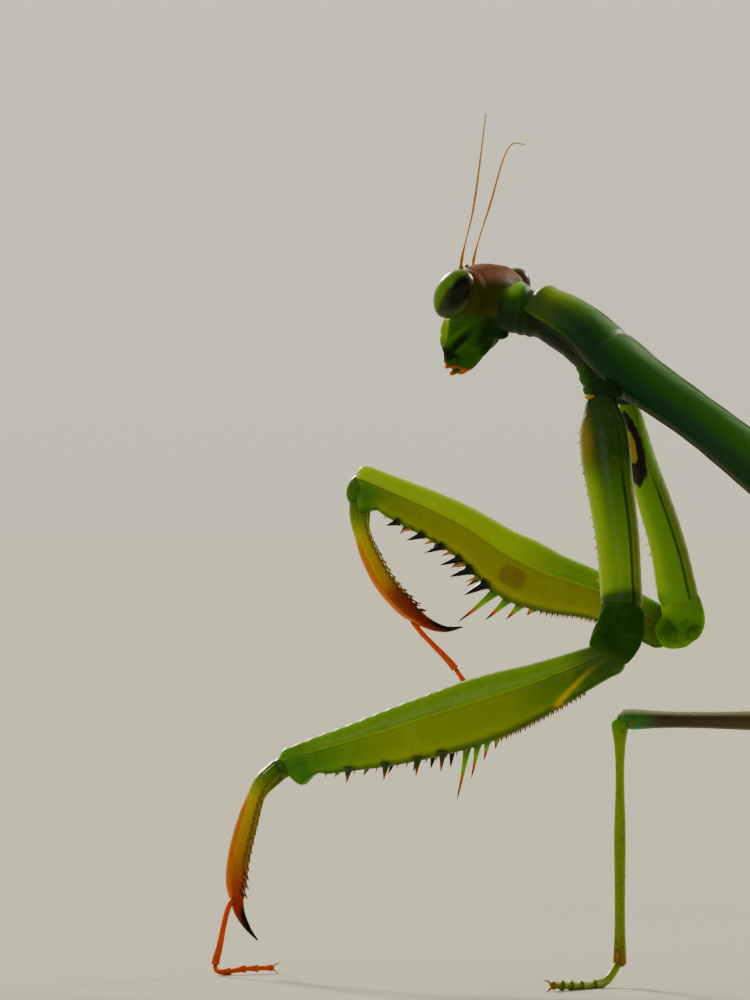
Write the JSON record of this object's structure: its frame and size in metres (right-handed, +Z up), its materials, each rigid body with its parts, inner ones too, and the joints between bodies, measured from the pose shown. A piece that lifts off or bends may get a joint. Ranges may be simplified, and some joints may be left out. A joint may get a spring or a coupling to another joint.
{
  "type": "praying mantis",
  "caption": "Still, life-size model of a green praying mantis that stands on its walking legs with its right spined foreleg raised.",
  "frame": {"origin": "middle of the model's footprint box, on the floor that the feet stand on", "axes": "+Z up, +X from the head towards the tip of the wings, -Y towards the insect's left side"},
  "size_m": [0.0712, 0.0434, 0.0369],
  "materials": {
    "head_cuticle": "waxy insect cuticle, green with a reddish brown crown",
    "compound_eye": "smooth facetted eye, green rim round a dark patch",
    "antenna_cuticle": "fine ringed feeler, orange brown",
    "shield_cuticle": "finely grained dark green cuticle with a soft sheen",
    "belly_cuticle": "pale green segmented cuticle",
    "wing_membrane": "leathery green forewing with raised veins",
    "foreleg_cuticle": "translucent yellow green cuticle with dark spines",
    "fore_tibia_cuticle": "orange to dark red cuticle with a black claw",
    "tarsus_cuticle": "translucent orange red foot segments",
    "walking_leg_cuticle": "slim green leg cuticle with brown joints"
  },
  "bodies": {
    "root": {"head": "head_cuticle", "eye_left": "compound_eye", "eye_right": "compound_eye", "antenna_left": "antenna_cuticle", "antenna_right": "antenna_cuticle", "neck": "shield_cuticle", "prothorax": "shield_cuticle", "pterothorax": "belly_cuticle", "abdomen": "belly_cuticle", "cercus_left": "belly_cuticle", "cercus_right": "belly_cuticle", "forewing_left": "wing_membrane", "forewing_right": "wing_membrane", "fore_coxa_left": "foreleg_cuticle", "fore_coxa_right": "foreleg_cuticle", "fore_trochanter_left": "foreleg_cuticle", "fore_trochanter_right": "foreleg_cuticle", "fore_femur_left": "foreleg_cuticle", "fore_femur_right": "foreleg_cuticle", "fore_tibia_left": "fore_tibia_cuticle", "fore_tibia_right": "fore_tibia_cuticle", "fore_tarsus_left": "tarsus_cuticle", "fore_tarsus_right": "tarsus_cuticle", "mid_coxa_left": "walking_leg_cuticle", "mid_coxa_right": "walking_leg_cuticle", "mid_femur_left": "walking_leg_cuticle", "mid_femur_right": "walking_leg_cuticle", "mid_tibia_left": "walking_leg_cuticle", "mid_tibia_right": "walking_leg_cuticle", "mid_tarsus_left": "walking_leg_cuticle", "mid_tarsus_right": "walking_leg_cuticle", "hind_coxa_left": "walking_leg_cuticle", "hind_coxa_right": "walking_leg_cuticle", "hind_femur_left": "walking_leg_cuticle", "hind_femur_right": "walking_leg_cuticle", "hind_tibia_left": "walking_leg_cuticle", "hind_tibia_right": "walking_leg_cuticle", "hind_tarsus_left": "walking_leg_cuticle", "hind_tarsus_right": "walking_leg_cuticle"}
  },
  "joints": []
}
